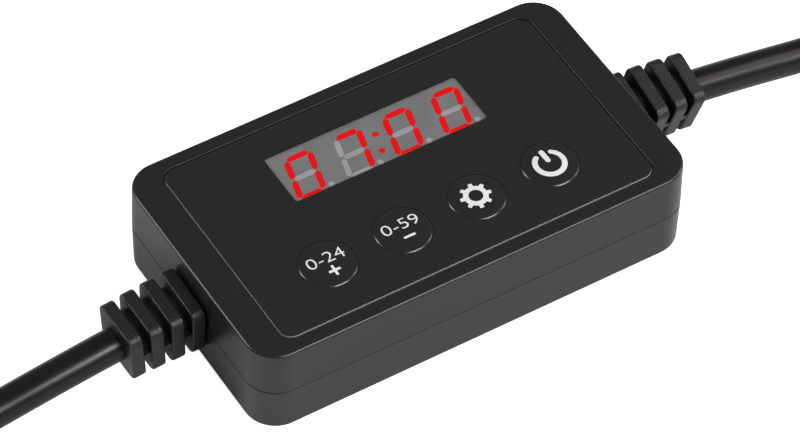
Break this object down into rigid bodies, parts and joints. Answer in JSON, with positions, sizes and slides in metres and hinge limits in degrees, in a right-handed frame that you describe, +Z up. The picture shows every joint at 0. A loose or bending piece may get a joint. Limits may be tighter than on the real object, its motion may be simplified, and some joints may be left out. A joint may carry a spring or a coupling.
{
  "type": "aquarium light controller",
  "caption": "Small flat box with a lit digital display, round dome buttons and a lead with a barrel connector at each end, for timing and dimming a lamp.",
  "frame": {"origin": "middle of the case's base, on the surface that it lies on", "axes": "+X along the case towards the output lead, +Y across it away from the buttons, +Z up through the display"},
  "size_m": [0.2862, 0.0444, 0.0147],
  "materials": {
    "case": "satin black moulded plastic",
    "film": "satin black printed film",
    "window": "clear, slightly smoked window in the film",
    "display_face": "grey display face",
    "segments": "clear bars, light grey when unlit",
    "tinned_metal": "tinned",
    "switch_steel": "bright spring steel",
    "switch_plastic": "black moulded plastic",
    "board": "green lacquered fibre board",
    "chip": "black moulded component",
    "capacitor_can": "bright can",
    "ceramic": "tan ceramic",
    "screw_steel": "zinc plated",
    "relief": "matte black soft moulding",
    "jacket": "smooth black cable jacket",
    "red_wire": "red insulation",
    "black_wire": "black insulation",
    "tie": "black band",
    "plated_metal": "nickel plated",
    "insulator": "yellow insulating ring"
  },
  "bodies": {
    "controller": {"upper_shell": "case", "lower_shell": "case", "panel_film": "film", "display_window": "window", "display_housing": "display_face", "display_segments": "segments", "display_pins": "tinned_metal", "plus_switch_body": "switch_plastic", "minus_switch_body": "switch_plastic", "set_switch_body": "switch_plastic", "power_switch_body": "switch_plastic", "switch_covers": "switch_steel", "switch_snap_domes": "switch_steel", "switch_legs": "tinned_metal", "circuit_board": "board", "microcontroller": "chip", "microcontroller_leads": "tinned_metal", "clock_crystal": "tinned_metal", "power_transistor": "chip", "voltage_regulator": "chip", "input_capacitor": "capacitor_can", "protection_diode": "chip", "chip_resistors": "chip", "chip_capacitors": "ceramic", "case_screws": "screw_steel", "board_screws": "screw_steel", "input_strain_relief": "relief", "output_strain_relief": "relief", "input_lead_jacket_end": "jacket", "output_lead_jacket_end": "jacket", "input_positive_wire": "red_wire", "input_negative_wire": "black_wire", "output_positive_wire": "red_wire", "output_negative_wire": "black_wire", "input_lead": "jacket", "input_lead_hank": "jacket", "input_hank_tie": "tie", "input_socket_grip": "relief", "input_socket_sleeve": "relief", "input_socket_pin": "plated_metal", "input_socket_spring": "tinned_metal", "output_lead": "jacket", "output_lead_hank": "jacket", "output_hank_tie": "tie", "output_plug_grip": "relief", "output_plug_barrel": "plated_metal", "output_plug_insulator": "insulator", "output_plug_contact": "plated_metal"},
    "plus_button": {"plus_button_dome": "film", "plus_switch_plunger": "switch_plastic"},
    "minus_button": {"minus_button_dome": "film", "minus_switch_plunger": "switch_plastic"},
    "set_button": {"set_button_dome": "film", "set_switch_plunger": "switch_plastic"},
    "power_button": {"power_button_dome": "film", "power_switch_plunger": "switch_plastic"}
  },
  "joints": [
    {"name": "plus_press", "type": "slide", "parent": "controller", "child": "plus_button", "axis": [0, 0, -1], "range_m": [0, 0.00025], "stiffness_N_per_m": 6400},
    {"name": "minus_press", "type": "slide", "parent": "controller", "child": "minus_button", "axis": [0, 0, -1], "range_m": [0, 0.00025], "stiffness_N_per_m": 6400},
    {"name": "set_press", "type": "slide", "parent": "controller", "child": "set_button", "axis": [0, 0, -1], "range_m": [0, 0.00025], "stiffness_N_per_m": 6400},
    {"name": "power_press", "type": "slide", "parent": "controller", "child": "power_button", "axis": [0, 0, -1], "range_m": [0, 0.00025], "stiffness_N_per_m": 6400}
  ]
}
